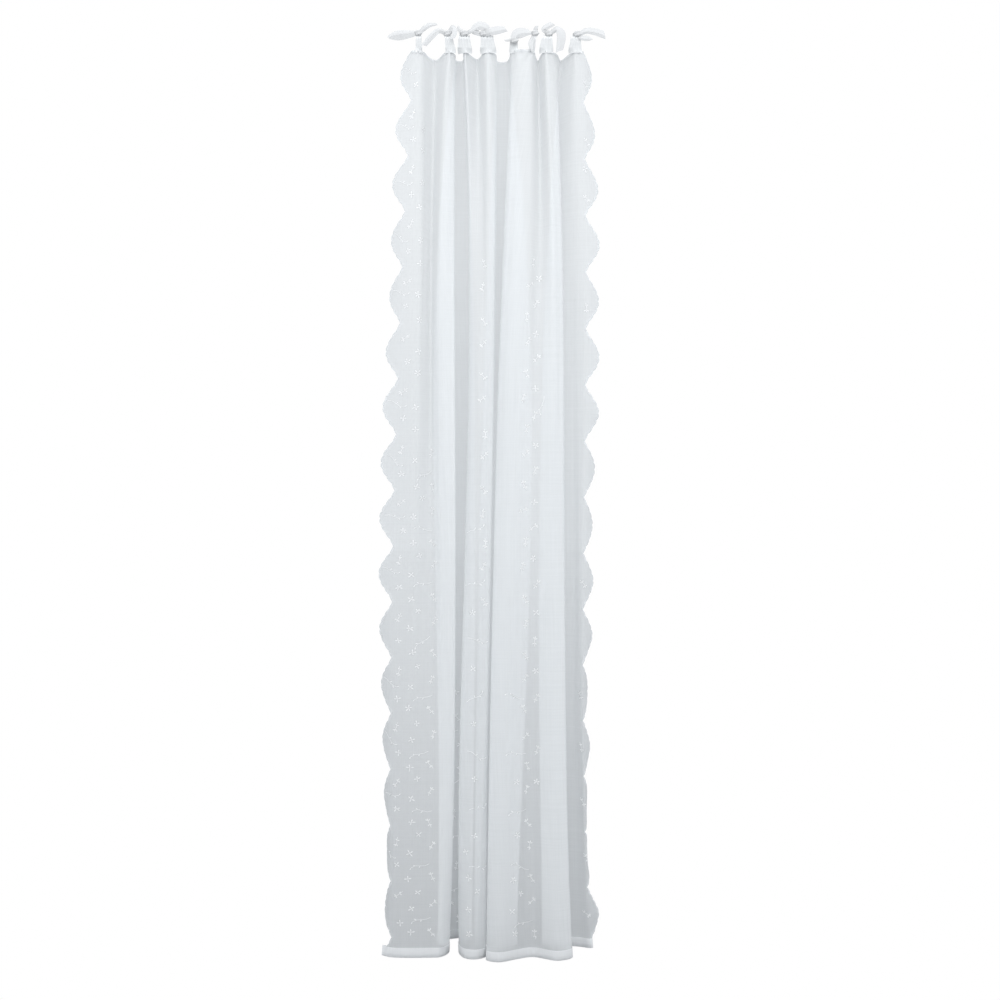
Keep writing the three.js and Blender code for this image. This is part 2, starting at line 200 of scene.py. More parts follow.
def smooth_points(across, distance):
    """Points on the smooth folded cloth, from fold positions and distances under the top edge."""
    across = np.clip(across, 0, LAST)
    shares = read_shares(distance / DROP)
    step = np.minimum(across.astype(int), LAST - 1)
    at = (across - step)[:, None]
    p0, p1, p2, p3 = (fold_points(np.clip(step + k, 0, LAST), shares, distance) for k in (-1, 0, 1, 2))
    p0 = np.where(step[:, None] == 0, 2 * p1 - p2, p0)
    p3 = np.where(step[:, None] == LAST - 1, 2 * p2 - p1, p3)
    d0, d1, d2 = (np.sqrt(np.linalg.norm(b - a, axis=1))[:, None] for a, b in ((p0, p1), (p1, p2), (p2, p3)))
    start = ((p1 - p0) / d0 - (p2 - p0) / (d0 + d1) + (p2 - p1) / d1) * d1
    end = ((p2 - p1) / d1 - (p3 - p1) / (d1 + d2) + (p3 - p2) / d2) * d1
    plan = p1 + start * at + (3 * (p2 - p1) - 2 * start - end) * at**2 + (2 * (p1 - p2) + start + end) * at**3
    return np.column_stack([plan, TOP_Z - distance])


def cloth_normals(across, distance):
    """Unit vectors out of the cloth towards the room."""
    nudge, drop_nudge = 0.01, 4.0
    side = smooth_points(across + nudge, distance) - smooth_points(across - nudge, distance)
    fall = (smooth_points(across, np.maximum(distance - drop_nudge, 0))
            - smooth_points(across, np.minimum(distance + drop_nudge, DROP)))
    normals = np.cross(side, fall)
    return normals / np.linalg.norm(normals, axis=1)[:, None]


# The cloth's own measure: arc length along each section, so that flat places map to folded ones
TABLE_DISTANCES = np.linspace(0, DROP, 161)
TABLE_ACROSS = np.linspace(0, LAST, LAST * 16 + 1)
TABLE_SHARES = np.linspace(0, 1, 701)


def section_tables():
    """For each table distance, the section's length and the fold position at even shares of it."""
    lengths = np.zeros(len(TABLE_DISTANCES))
    folds_at = np.zeros((len(TABLE_DISTANCES), len(TABLE_SHARES)))
    for row, distance in enumerate(TABLE_DISTANCES):
        line = smooth_points(TABLE_ACROSS, np.full(len(TABLE_ACROSS), distance))
        run = np.concatenate([[0], np.cumsum(np.linalg.norm(np.diff(line, axis=0), axis=1))])
        lengths[row] = run[-1]
        folds_at[row] = np.interp(TABLE_SHARES, run / run[-1], TABLE_ACROSS)
    return lengths, folds_at


SECTION_LENGTHS, FOLDS_AT = section_tables()


def section_length(distance):
    """The cloth's length across the folds at each distance under the top edge."""
    return np.interp(distance, TABLE_DISTANCES, SECTION_LENGTHS)


def across_at(share, distance):
    """Fold position at a share of the cloth's width, 0 at the left edge and 1 at the right."""
    row = np.clip(distance / DROP, 0, 1) * (len(TABLE_DISTANCES) - 1)
    column = np.clip(share, 0, 1) * (len(TABLE_SHARES) - 1)
    r = np.minimum(row.astype(int), len(TABLE_DISTANCES) - 2)
    c = np.minimum(column.astype(int), len(TABLE_SHARES) - 2)
    fr, fc = row - r, column - c
    near = FOLDS_AT[r, c] * (1 - fc) + FOLDS_AT[r, c + 1] * fc
    far = FOLDS_AT[r + 1, c] * (1 - fc) + FOLDS_AT[r + 1, c + 1] * fc
    return near * (1 - fr) + far * fr


def share_at(across, distance):
    """Share of the cloth's width at a fold position, read at one distance for each point."""
    shares = np.zeros(len(across))
    last = len(TABLE_DISTANCES) - 1
    rows = np.clip(np.rint(distance / DROP * last).astype(int), 0, last)
    for row in np.unique(rows):
        here = rows == row
        shares[here] = np.interp(across[here], FOLDS_AT[row], TABLE_SHARES)
    return shares


def crease_lift(across, distance):
    """How far the creases, puckers and general unevenness stand the cloth off its smooth folds."""
    lift = np.zeros(len(across))
    place = share_at(across, distance) * FLAT_WIDTH
    for crease in CREASES:
        middle = share_at(np.full(len(across), crease["across"]), distance) * FLAT_WIDTH
        phase = crease["across"] * CREASE_STRAY["phase"]
        stray = CREASE_STRAY["reach"] * np.sin(distance / CREASE_STRAY["length"] + phase)
        offset = (place - middle - stray) / crease["half"]
        fade_in = np.clip((distance - crease["start"]) / CREASE_FADE["length"], 0, 1)
        fade_out = np.clip((crease["end"] - distance) / CREASE_FADE["length"] + CREASE_FADE["left"], 0, 1)
        lift += crease["depth"] * np.exp(-offset**2) * (fade_in * fade_out)
    for tie in TIES:
        sideways = place - tie_place(tie)
        below = distance + PUCKER["above"]
        fan = np.arctan2(sideways, below)
        reach = np.hypot(sideways, below)
        lift += PUCKER["depth"] * np.cos(PUCKER["count"] * fan + tie["x"]) * np.exp(-reach / PUCKER["reach"])
    sideways = np.sin(place / UNEVEN["across"] + distance / UNEVEN["across_lean"])
    downwards = np.sin(distance / UNEVEN["down"] + place / UNEVEN["down_lean"])
    return lift + UNEVEN["depth"] * sideways * downwards


def tie_place(tie):
    """Where a tie sits along the flat cloth's top edge."""
    return float(share_at(np.array([float(tie["fold"])]), np.zeros(1))[0]) * FLAT_WIDTH


def cloth_points(across, distance, lift=0.0):
    """Points on the creased cloth, lifted off it towards the room."""
    normals = cloth_normals(across, distance)
    stand = crease_lift(across, distance) + lift
    return smooth_points(across, distance) + normals * np.asarray(stand)[:, None]


def on_cloth(place, distance, lift):
    """Points from flat places on the cloth: distance from the left edge, distance down, and lift."""
    distance = np.clip(distance, 0, DROP)
    return cloth_points(across_at(place / FLAT_WIDTH, distance), distance, lift)


def node_chain(owner):
    """Ways to link and to add nodes in the emptied tree of a material or world."""
    owner.use_nodes = True
    tree = owner.node_tree
    tree.nodes.clear()

    def add(kind, **values):
        """A node of a kind, with its plain values set."""
        node = tree.nodes.new(kind)
        for key, value in values.items():
            setattr(node, key, value)
        return node

    return tree.links.new, add


def mix_colours(link, add, factor, first, second):
    """The socket of a colour between two others, by a factor's socket."""
    mix = add("ShaderNodeMix", data_type="RGBA")
    # The node has sockets of several types under the same names, so its colour ones are picked
    first_in, second_in = [socket for socket in mix.inputs if socket.type == "RGBA"]
    first_in.default_value = (*first, 1)
    second_in.default_value = (*second, 1)
    link(factor, mix.inputs["Factor"])
    return [socket for socket in mix.outputs if socket.type == "RGBA"][0]


def woven_bump(link, add, thread, strength):
    """A plain weave from two crossed sets of thread bands, in the cloth's own flat measure."""
    bands_in_one_unit = 20 / (2 * math.pi)
    place = add("ShaderNodeUVMap", uv_map="flat")
    heights = []
    for direction in ("X", "Y"):
        bands = add("ShaderNodeTexWave", wave_type="BANDS", bands_direction=direction)
        bands.inputs["Scale"].default_value = 1 / (thread * bands_in_one_unit)
        bands.inputs["Distortion"].default_value = 0.6
        link(place.outputs["UV"], bands.inputs["Vector"])
        heights.append(bands.outputs["Fac"])
    cross = add("ShaderNodeMath", operation="MAXIMUM")
    link(heights[0], cross.inputs[0])
    link(heights[1], cross.inputs[1])
    bump = add("ShaderNodeBump")
    bump.inputs["Strength"].default_value = strength
    bump.inputs["Distance"].default_value = 0.0003
    link(cross.outputs[0], bump.inputs["Height"])
    return place, bump


def slub_noise(link, add, place, stretch):
    """Uneven yarn: noise drawn out along the threads."""
    mapping = add("ShaderNodeMapping")
    mapping.inputs["Scale"].default_value = stretch
    noise = add("ShaderNodeTexNoise")
    noise.inputs["Scale"].default_value = 1.0
    noise.inputs["Detail"].default_value = 3.0
    link(place.outputs["UV"], mapping.inputs["Vector"])
    link(mapping.outputs["Vector"], noise.inputs["Vector"])
    return noise


def sheer_material(name, dark, light, opacity, thread=0.0006, translucency=0.2):
    """Thin woven cloth that lets light and a little of what is behind it through."""
    material = bpy.data.materials.new(name)
    link, add = node_chain(material)
    place, bump = woven_bump(link, add, thread, 0.25)
    fine, drawn_out = 420.0, 5.0
    thin_yarn, thick_yarn = 0.7, 1.3
    cover_change = 0.015
    down_yarn = slub_noise(link, add, place, (fine, drawn_out, 1.0))
    cross_yarn = slub_noise(link, add, place, (drawn_out, fine, 1.0))
    yarn = add("ShaderNodeMath", operation="ADD")
    link(down_yarn.outputs["Fac"], yarn.inputs[0])
    link(cross_yarn.outputs["Fac"], yarn.inputs[1])
    tone = add("ShaderNodeMapRange")
    tone.inputs["From Min"].default_value = thin_yarn
    tone.inputs["From Max"].default_value = thick_yarn
    link(yarn.outputs[0], tone.inputs["Value"])
    colour = mix_colours(link, add, tone.outputs["Result"], dark, light)
    surface = add("ShaderNodeBsdfPrincipled")
    surface.inputs["Roughness"].default_value = 0.85
    surface.inputs["Sheen Weight"].default_value = 0.15
    surface.inputs["Specular IOR Level"].default_value = 0.2
    through = add("ShaderNodeBsdfTranslucent")
    clear = add("ShaderNodeBsdfTransparent")
    cloth = add("ShaderNodeMixShader")
    cloth.inputs["Fac"].default_value = translucency
    cover = add("ShaderNodeMapRange")
    cover.inputs["From Min"].default_value = thin_yarn
    cover.inputs["From Max"].default_value = thick_yarn
    cover.inputs["To Min"].default_value = opacity - cover_change
    cover.inputs["To Max"].default_value = min(opacity + cover_change, 1.0)
    sheer = add("ShaderNodeMixShader")
    output = add("ShaderNodeOutputMaterial")
    link(colour, surface.inputs["Base Color"])
    link(colour, through.inputs["Color"])
    link(bump.outputs["Normal"], surface.inputs["Normal"])
    link(surface.outputs["BSDF"], cloth.inputs[1])
    link(through.outputs["BSDF"], cloth.inputs[2])
    link(yarn.outputs[0], cover.inputs["Value"])
    link(cover.outputs["Result"], sheer.inputs["Fac"])
    link(clear.outputs["BSDF"], sheer.inputs[1])
    link(cloth.outputs["Shader"], sheer.inputs[2])
    link(sheer.outputs["Shader"], output.inputs["Surface"])
    return material


def thread_material(name, colour, stitch):
    """Satin-stitched thread: bright, a little glossy, ridged along each stitch."""
    material = bpy.data.materials.new(name)
    link, add = node_chain(material)
    place, bump = woven_bump(link, add, stitch, 0.5)
    noise = slub_noise(link, add, place, (260.0, 260.0, 1.0))
    tone = add("ShaderNodeMapRange")
    tone.inputs["To Min"].default_value = 0.42
    tone.inputs["To Max"].default_value = 0.62
    surface = add("ShaderNodeBsdfPrincipled")
    surface.inputs["Base Color"].default_value = (*colour, 1)
    surface.inputs["Sheen Weight"].default_value = 0.05
    surface.inputs["Specular IOR Level"].default_value = 0.3
    output = add("ShaderNodeOutputMaterial")
    link(noise.outputs["Fac"], tone.inputs["Value"])
    link(tone.outputs["Result"], surface.inputs["Roughness"])
    link(bump.outputs["Normal"], surface.inputs["Normal"])
    link(surface.outputs["BSDF"], output.inputs["Surface"])
    return material


def make_piece(name, points, faces, flat, material):
    """A mesh piece from points in millimetres, with its flat places in metres as its map."""
    mesh = bpy.data.meshes.new(name)
    mesh.from_pydata((np.asarray(points) * MM).tolist(), [], [list(map(int, face)) for face in faces])
    layer = mesh.uv_layers.new(name="flat")
    corners = np.zeros(len(mesh.loops), dtype=int)
    mesh.loops.foreach_get("vertex_index", corners)
    layer.data.foreach_set("uv", (np.asarray(flat)[corners] * MM).ravel())
    mesh.polygons.foreach_set("use_smooth", [True] * len(mesh.polygons))
    mesh.materials.append(material)
    mesh.update()
    piece = bpy.data.objects.new(name, mesh)
    bpy.context.collection.objects.link(piece)
    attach(piece, "root")
    return piece


def grid_faces(first, rows, wide):
    """Faces between the points of a grid, row by row, from the number of its first point."""
    corners = (first + row * wide + column for row in range(rows - 1) for column in range(wide - 1))
    return [(corner, corner + wide, corner + wide + 1, corner + 1) for corner in corners]


def edge_inset(distance, side):
    """How far in from the cloth's cut width the scalloped edge lies."""
    rounding = SCALLOP["round"]
    # The hem is cut square, as far out as the last scallop comes at its foot, from its own top line down
    slack = 0.1
    distance = np.where(distance > DROP - HEM_DEPTH - slack, DROP, distance)
    turn = np.pi * (distance - SCALLOP["start"]) / PITCH[side]
    wave = np.hypot(np.sin(turn), rounding)
    wave = (wave - rounding) / (math.hypot(1, rounding) - rounding)
    ripple = np.abs(np.sin(SCALLOP["ripples"] * turn))
    return SCALLOP["depth"] * (1 - wave ** SCALLOP["power"]) + SCALLOP["ripple_depth"] * (1 - ripple)


def row_distances():
    """Rows of the panel's plain part: twelve to a scallop, and twice as close beside the first one."""
    scallop = PITCH["left"]
    rows_per_scallop = 12
    hem_rows = 4
    least_step = 4
    close = np.arange(0, scallop, scallop / (2 * rows_per_scallop))
    rest = np.arange(scallop, DROP - HEM_DEPTH - least_step, scallop / rows_per_scallop)
    hem = np.linspace(DROP - HEM_DEPTH, DROP, hem_rows)
    return np.concatenate([close, rest, hem])


def make_panel(material):
    """The panel as one thin sheet: a plain middle, and finely stepped strips along its scalloped sides."""
    columns_per_fold = 12
    inner = 1.25  # fold positions from a side edge to the plain middle
    strip_gap = 0.06  # from there to the strip's inner line
    edge_steps = 6
    strip_columns = 5
    rows = row_distances()
    columns = np.linspace(inner, LAST - inner, int(round((LAST - 2 * inner) * columns_per_fold)) + 1)
    wide = len(columns)
    across = [np.tile(columns, len(rows))]
    distance = [np.repeat(rows, wide)]
    faces = grid_faces(0, len(rows), wide)
    count = wide * len(rows)

    fine = np.concatenate([
        np.linspace(a, b, edge_steps, endpoint=False) for a, b in zip(rows[:-1], rows[1:])
    ] + [rows[-1:]])
    for side in ("left", "right"):
        share = edge_inset(fine, side) / section_length(fine)
        left = side == "left"
        rim = across_at(share if left else 1 - share, fine)
        inside = inner - strip_gap if left else LAST - inner + strip_gap
        parts = np.linspace(0, 1, strip_columns)
        strip = rim[:, None] * (1 - parts) + inside * parts
        across.append(strip.ravel())
        distance.append(np.repeat(fine, strip_columns))
        strip_faces = grid_faces(count, len(fine), strip_columns)
        # Join the strip's fine inner line to the plain rows
        plain = 0 if left else wide - 1
        half = edge_steps // 2
        for row in range(len(rows) - 1):
            top, bottom = row * wide + plain, (row + 1) * wide + plain
            first = count + row * edge_steps * strip_columns + strip_columns - 1
            steps = [first + k * strip_columns for k in range(edge_steps + 1)]
            strip_faces += [(top, steps[k], steps[k + 1]) for k in range(half)]
            strip_faces += [(top, steps[half], bottom)]
            strip_faces += [(bottom, steps[k], steps[k + 1]) for k in range(half, edge_steps)]
        faces += strip_faces if left else [face[::-1] for face in strip_faces]
        count += len(fine) * strip_columns
    across = np.concatenate(across)
    distance = np.concatenate(distance)
    flat = np.column_stack([share_at(across, distance) * FLAT_WIDTH, distance])
    return make_piece("panel_cloth", cloth_points(across, distance), faces, flat, material)


def make_turn(name, route, material):
    """A turned edge of the cloth, from places along its section: distance down and lift off the panel."""
    columns = np.linspace(0.0, 1.0, TURN["columns"])
    wide, steps = len(columns), len(route)
    distance = np.repeat([float(down) for down, _ in route], wide)
    lift = np.repeat([float(off) for _, off in route], wide)
    first, last = ((edge_inset(distance, side) + TURN["inset"]) / section_length(distance)
                   for side in ("left", "right"))
    share = first + np.tile(columns, steps) * (1 - first - last)
    run = np.repeat(np.cumsum([0.0] + [math.dist(a, b) for a, b in zip(route, route[1:])]), wide)
    flat = np.column_stack([share * FLAT_WIDTH, DROP - run])
    placed = cloth_points(across_at(share, distance), distance, lift)
    return make_piece(name, placed, grid_faces(0, steps, wide), flat, material)


def make_rim(side, material):
    """The satin-stitched rim: a low crowned band that follows the scallops on both faces of the cloth."""
    step = 1.6
    fine = np.arange(0, DROP - HEM_DEPTH, step)
    inset = edge_inset(fine, side)
    slope = np.gradient(inset, fine)
    lean = np.hypot(1, slope)
    left = side == "left"
    points, flat, faces = [], [], []
    for face in (1, -1):
        first = sum(len(column) for column in points)
        for inward, crown in RIM["profile"]:
            place = inset + inward / lean
            distance = np.clip(fine - inward * slope / lean, 0, DROP)
            share = np.maximum(place, 0.0) / section_length(distance)
            across = across_at(share if left else 1 - share, distance)
            band = cloth_points(across, distance, np.full(len(fine), face * crown))
            past = np.minimum(place, 0.0)
            band[:, 0] += past if left else -past
            points.append(band)
            flat.append(np.column_stack([np.full(len(fine), inward), np.cumsum(lean) * step]))
        quads = [(a, d, c, b) for a, b, c, d in grid_faces(first, len(RIM["profile"]), len(fine))]
        faces += quads if left == (face > 0) else [quad[::-1] for quad in quads]
    points, flat = np.concatenate(points), np.concatenate(flat)
    return make_piece("rim_" + side, points, faces, flat, material)


# A petal's outline, as shares of its length and width
PETAL = [(0.0, 0.0), (0.35, 0.42), (0.7, 0.5), (1.0, 0.0), (0.7, -0.5), (0.35, -0.42)]


class Stitching:
    """Raised thread shapes gathered in flat places of the cloth and made into one mesh."""

    def __init__(self):
        self.points = []
        self.faces = []

    def lens(self, outline, lift):
        """A rounded petal or leaf, stitched through so that it stands out on both faces of the cloth."""
        middle = np.mean(outline, axis=0)
        count = len(outline)
        for side in (1, -1):
            first = len(self.points)
            self.points += [(u, v, side * THREAD_LIFT) for u, v in outline]
            self.points.append((middle[0], middle[1], side * (THREAD_LIFT + lift)))
            ring = [(first + k, first + (k + 1) % count) for k in range(count)]
            self.faces += [(a, b, first + count) if side > 0 else (b, a, first + count) for a, b in ring]

    def petal(self, root, angle, length, width):
        """A petal or leaf from its root and the way it points."""
        along = np.array([math.cos(angle), math.sin(angle)])
        side = np.array([-along[1], along[0]])
        self.lens([np.asarray(root) + along * length * a + side * width * b for a, b in PETAL], THREAD_CROWN)

    def stem(self, route, width, lift):
        """A thin couched line on both faces of the cloth."""
        route = [np.asarray(point, dtype=float) for point in route]
        for face in (1, -1):
            first = len(self.points)
            for k, point in enumerate(route):
                ahead = route[min(k + 1, len(route) - 1)] - route[max(k - 1, 0)]
                side = np.array([-ahead[1], ahead[0]]) / np.linalg.norm(ahead) * width / 2
                edge, crown = face * THREAD_LIFT, face * (THREAD_LIFT + lift)
                self.points += [(*(point + side), edge), (*point, crown), (*(point - side), edge)]
            for k in range(len(route) - 1):
                for j in range(2):
                    a, b = first + 3 * k + j, first + 3 * k + j + 1
                    self.faces.append((a, a + 3, b + 3, b) if face < 0 else (b, b + 3, a + 3, a))

    def make(self, name, material):
        """The gathered shapes as one piece, laid on the folded cloth."""
        points = np.array(self.points)
        placed = on_cloth(points[:, 0], points[:, 1], points[:, 2])
        return make_piece(name, placed, self.faces, points[:, :2], material)


def turned(centre, turn, u, v):
    """A place given from a centre, in axes turned about it."""
    along, aside = math.cos(turn), math.sin(turn)
    return (centre[0] + u * along - v * aside, centre[1] + u * aside + v * along)


# The motifs' proportions, as shares of a motif's size. Angles are in radians, stems and the crown of a
# flower's eye in millimetres, and "fives" is the share of flowers with five petals
STAR = {
    "fives": 0.4, "sway": 0.25, "root": 0.08, "length": (0.75, 1.15), "width": 0.36,
    "eye": 0.16, "eye_crown": 0.3,
}
SPRIG = {
    "petals": (-0.9, 0.0, 0.9), "sway": 0.2, "length": (0.75, 1.0), "width": 0.36,
    "head": 0.9, "neck": (0.4, 0.02), "bend": (-0.1, 0.15), "foot": (-1.1, 0.4), "stem": 1.4,
    "leaves": (2.2, -2.4), "leaf_sway": 0.3, "leaf_length": 0.7, "leaf_width": 0.33,
}
TWIG = {
    "stem": 1.1, "places": (-1.6, -0.8, 0.0, 0.8, 1.6), "bow": (0.15, 0.4), "curve": 1.5,
    "bare": 2, "leaf_turn": 0.75, "leaf_length": (0.35, 0.6), "leaf_width": 0.2,
}


def star_flower(work, centre, turn, size, vary):
    """Four or five narrow uneven petals round a small eye."""
    petals = 4 + int(vary.uniform() < STAR["fives"])
    for k in range(petals):
        angle = turn + k * 2 * math.pi / petals + vary.uniform(-STAR["sway"], STAR["sway"])
        root = turned(centre, angle, size * STAR["root"], 0)
        work.petal(root, angle, size * vary.uniform(*STAR["length"]), size * STAR["width"])
    eye = [turned(centre, turn + k * math.pi / 3, size * STAR["eye"], 0) for k in range(6)]
    work.lens(eye, STAR["eye_crown"])


def sprig(work, centre, turn, size, vary):
    """A three-petalled flower on a short curved stem with a pair of leaves."""
    head = turned(centre, turn, size * SPRIG["head"], 0)
    neck, bend, foot = (turned(centre, turn, size * SPRIG[name][0], size * SPRIG[name][1])
                        for name in ("neck", "bend", "foot"))
    for lean in SPRIG["petals"]:
        angle = turn + lean + vary.uniform(-SPRIG["sway"], SPRIG["sway"])
        work.petal(head, angle, size * vary.uniform(*SPRIG["length"]), size * SPRIG["width"])
    work.stem([head, neck, bend, foot], SPRIG["stem"], THREAD_CROWN)
    for lean in SPRIG["leaves"]:
        angle = turn + lean + vary.uniform(-SPRIG["leaf_sway"], SPRIG["leaf_sway"])
        work.petal(bend, angle, size * SPRIG["leaf_length"], size * SPRIG["leaf_width"])


def twig(work, centre, turn, size, vary):
    """A longer curved stem, leaved along its outer part."""
    bow = vary.uniform(*TWIG["bow"])
    line = [turned(centre, turn, size * u, size * bow * math.sin(TWIG["curve"] * u)) for u in TWIG["places"]]
    work.stem(line, TWIG["stem"], THREAD_CROWN)
    for k, point in enumerate(line[TWIG["bare"]:]):
        angle = turn + (TWIG["leaf_turn"] if k % 2 else -TWIG["leaf_turn"])
        work.petal(point, angle, size * vary.uniform(*TWIG["leaf_length"]), size * TWIG["leaf_width"])


# One repeat of the embroidery, as tall as a scallop: place across and down, turn and kind of each motif
REPEAT_WIDTH = 150.0
REPEAT_DEPTH = 147.0
MOTIFS = [
    {"u": 12, "v": 14, "turn": 0.4, "kind": star_flower, "size": 9.0},
    {"u": 58, "v": 22, "turn": 2.3, "kind": sprig, "size": 9.0},
    {"u": 104, "v": 10, "turn": 1.2, "kind": star_flower, "size": 8.0},
    {"u": 134, "v": 40, "turn": 5.2, "kind": sprig, "size": 8.5},
    {"u": 32, "v": 52, "turn": 0.3, "kind": twig, "size": 14.0},
    {"u": 84, "v": 58, "turn": 0.9, "kind": star_flower, "size": 9.0},
    {"u": 10, "v": 86, "turn": 3.9, "kind": sprig, "size": 9.0},
    {"u": 56, "v": 92, "turn": 1.8, "kind": star_flower, "size": 8.5},
    {"u": 112, "v": 88, "turn": 2.8, "kind": twig, "size": 14.0},
    {"u": 34, "v": 126, "turn": 5.6, "kind": sprig, "size": 8.5},
    {"u": 84, "v": 122, "turn": 0.1, "kind": star_flower, "size": 9.0},
    {"u": 136, "v": 124, "turn": 4.4, "kind": sprig, "size": 9.0},
]

# Lengthwise strips that carry sprigs: from and to across the folds, and from how far down
STRIPS = [
    {"first": 0.0, "last": 2.2, "start": 0},
    {"first": 2.2, "last": 3.6, "start": 1050},
    {"first": 6.2, "last": 6.8, "start": 1650},
    {"first": 8.9, "last": 10.2, "start": 540},
    {"first": 15.7, "last": 17.2, "start": 540},
    {"first": 21.2, "last": 21.9, "start": 1650},
    {"first": 21.9, "last": LAST, "start": 0},
]


def on_strip(place, distance):
    """Whether a flat place lies on one of the strips."""
    across = float(across_at(np.array([place / FLAT_WIDTH]), np.array([distance]))[0])
    return any(strip["first"] <= across <= strip["last"] and distance > strip["start"] for strip in STRIPS)


# How far motifs stray from the repeat, and how clear they stay: of the sides and heading by so many of their
# own sizes, and of the hem by a share of that
STRAY = {"seed": 7, "place": 5, "turn": 0.5, "column_turn": 1.1}
CLEAR = {"edge": 1.9, "hem": 0.7}


def make_embroidery(material):
    """The sprigs, in two meshes so that each stays light."""
    scatter = np.random.default_rng(STRAY["seed"])
    halves = {"left": Stitching(), "right": Stitching()}
    for column in range(int(FLAT_WIDTH / REPEAT_WIDTH) + 1):
        for row in range(int(DROP / REPEAT_DEPTH) + 1):
            for motif in MOTIFS:
                clear = CLEAR["edge"] * motif["size"]
                stray = scatter.uniform(-STRAY["place"], STRAY["place"], 2)
                turn = motif["turn"] + scatter.uniform(-STRAY["turn"], STRAY["turn"])
                turn += column * STRAY["column_turn"]
                place = column * REPEAT_WIDTH + motif["u"] + stray[0]
                distance = row * REPEAT_DEPTH + motif["v"] + stray[1]
                side = "left" if place < FLAT_WIDTH / 2 else "right"
                margin = min(place, FLAT_WIDTH - place)
                lowest = DROP - HEM_DEPTH - clear * CLEAR["hem"]
                if margin < edge_inset(distance, side) + clear:
                    continue
                if not HEADING_DEPTH + clear < distance < lowest or not on_strip(place, distance):
                    continue
                motif["kind"](halves[side], (place, distance), turn, motif["size"], scatter)
    return [half.make("sprigs_" + side, material) for side, half in halves.items()]


def make_seam(name, distance, material):
    """A row of small running stitches along a turned edge."""
    work = Stitching()
    end_gap = RIM["width"] + STITCH["end_gap"]
    first, last = (edge_inset(distance, side) + end_gap for side in ("left", "right"))
    for place in np.arange(first, FLAT_WIDTH - last, STITCH["pitch"]):
        work.stem([(place, distance), (place + STITCH["length"], distance)], STITCH["width"], STITCH["lift"])
    return work.make(name, material)


def catmull(points, samples):
    """A smooth line through points, as sampled rows of the same columns."""
    points = np.asarray(points, dtype=float)
    last = len(points) - 1
    at = np.linspace(0, last, samples)
    step = np.minimum(at.astype(int), last - 1)
    t = (at - step)[:, None]
    p0, p1, p2, p3 = (points[np.clip(step + k, 0, last)] for k in (-1, 0, 1, 2))
    square = 2 * p0 - 5 * p1 + 4 * p2 - p3
    cube = 3 * p1 - p0 - 3 * p2 + p3
    return 0.5 * (2 * p1 + (p2 - p0) * t + square * t**2 + cube * t**3)


class Ribbons:
    """Lengths of strap gathered into one mesh, each a grid of points along and across."""

    def __init__(self):
        self.points = []
        self.faces = []
        self.flat = []
        self.run = 0.0
        self.area = 0.0

    def add_grid(self, grid, flat):
        """A grid of points and their flat places."""
        first = sum(len(p) for p in self.points)
        rows, wide = grid.shape[:2]
        self.points.append(grid.reshape(-1, 3))
        self.flat.append(flat.reshape(-1, 2))
        self.faces += [(a, d, c, b) for a, b, c, d in grid_faces(first, rows, wide)]

    def add(self, middle, width, across, stand, skew=0.0):
        """A strap from its middle line, widths and side directions, and how far its section stands back."""
        along = np.gradient(middle, axis=0)
        along /= np.linalg.norm(along, axis=1)[:, None]
        out = np.cross(along, across)
        aside = STRAP_PARTS * width[:, None]
        slant = aside * skew * np.linspace(0, 1, len(middle))[:, None]**END_FOLD["skew_power"]
        grid = (middle[:, None] + across[:, None] * aside[..., None] + along[:, None] * slant[..., None]
                + out[:, None] * (stand * width[:, None])[..., None])
        steps = np.linalg.norm(np.diff(middle, axis=0), axis=1)
        run = self.run + np.concatenate([[0], np.cumsum(steps)])
        self.run = run[-1]
        self.area += float(np.sum(steps * (width[:-1] + width[1:]) / 2))
        flat = np.stack(np.broadcast_arrays(aside, run[:, None]), axis=-1)
        self.add_grid(grid, flat)


def loop_line(tie):
    """The strap's way from the front of the cloth, round the rod's place and down its back."""
    low = TOP_Z + LOOP["seat"] + LOOP["cloth"] / 2
    half, top = LOOP["half_depth"], LOOP["top"]
    sewn = TOP_Z - LOOP["sewn"]
    waist, middle, shoulder = (LOOP[name] for name in ("waist", "middle", "shoulder"))
    front = [
        (-LOOP["foot_stand"], sewn), (-LOOP["edge_stand"], TOP_Z), (-half * waist[0], low + waist[1]),
        (-half * middle[0], low + middle[1]), (-half * shoulder[0], top - shoulder[1]),
    ]
    shape = [*front, (0, top), *((-y, z) for y, z in reversed(front))]
    return [(tie["x"] + tie["lean"] * max(z - low, 0) / (top - low), y, z) for y, z in shape]


def follow_cloth(grid, tie):
    """Wrap a strap's sewn ends round the fold that they are sewn to."""
    below = np.clip((TOP_Z + HUG["above"] - grid[..., 2]) / HUG["length"], 0, 1)
    place = tie_place(tie) + (grid[..., 0] - tie["x"])
    distance = np.clip(TOP_Z - grid[..., 2], 0, DROP)
    cloth = on_cloth(place.ravel(), distance.ravel(), np.zeros(place.size)).reshape(grid.shape)
    in_front = grid[..., 1] < 0
    grid[..., 1] += cloth[..., 1] * np.where(in_front, HUG["front"], 1.0) * below
    grid[..., 0] += (cloth[..., 0] - grid[..., 0]) * np.where(in_front, HUG["front_sideways"], 1.0) * below
    return grid


def pleats(rise):
    """Pleats across a loop that deepen as it is gathered to its knot, as shares of its width."""
    depth = PLEATS["foot"] + (PLEATS["top"] - PLEATS["foot"]) * rise**2
    return depth[:, None] * np.cos(STRAP_PARTS * 2 * math.pi * PLEATS["count"] + PLEATS["phase"])


def end_fold():
    """A free end's lengthwise fold, off its middle, as shares of its width."""
    soft = END_FOLD["soft"]
    return END_FOLD["slope"] * (np.hypot(STRAP_PARTS - END_FOLD["ridge"], soft) - soft)


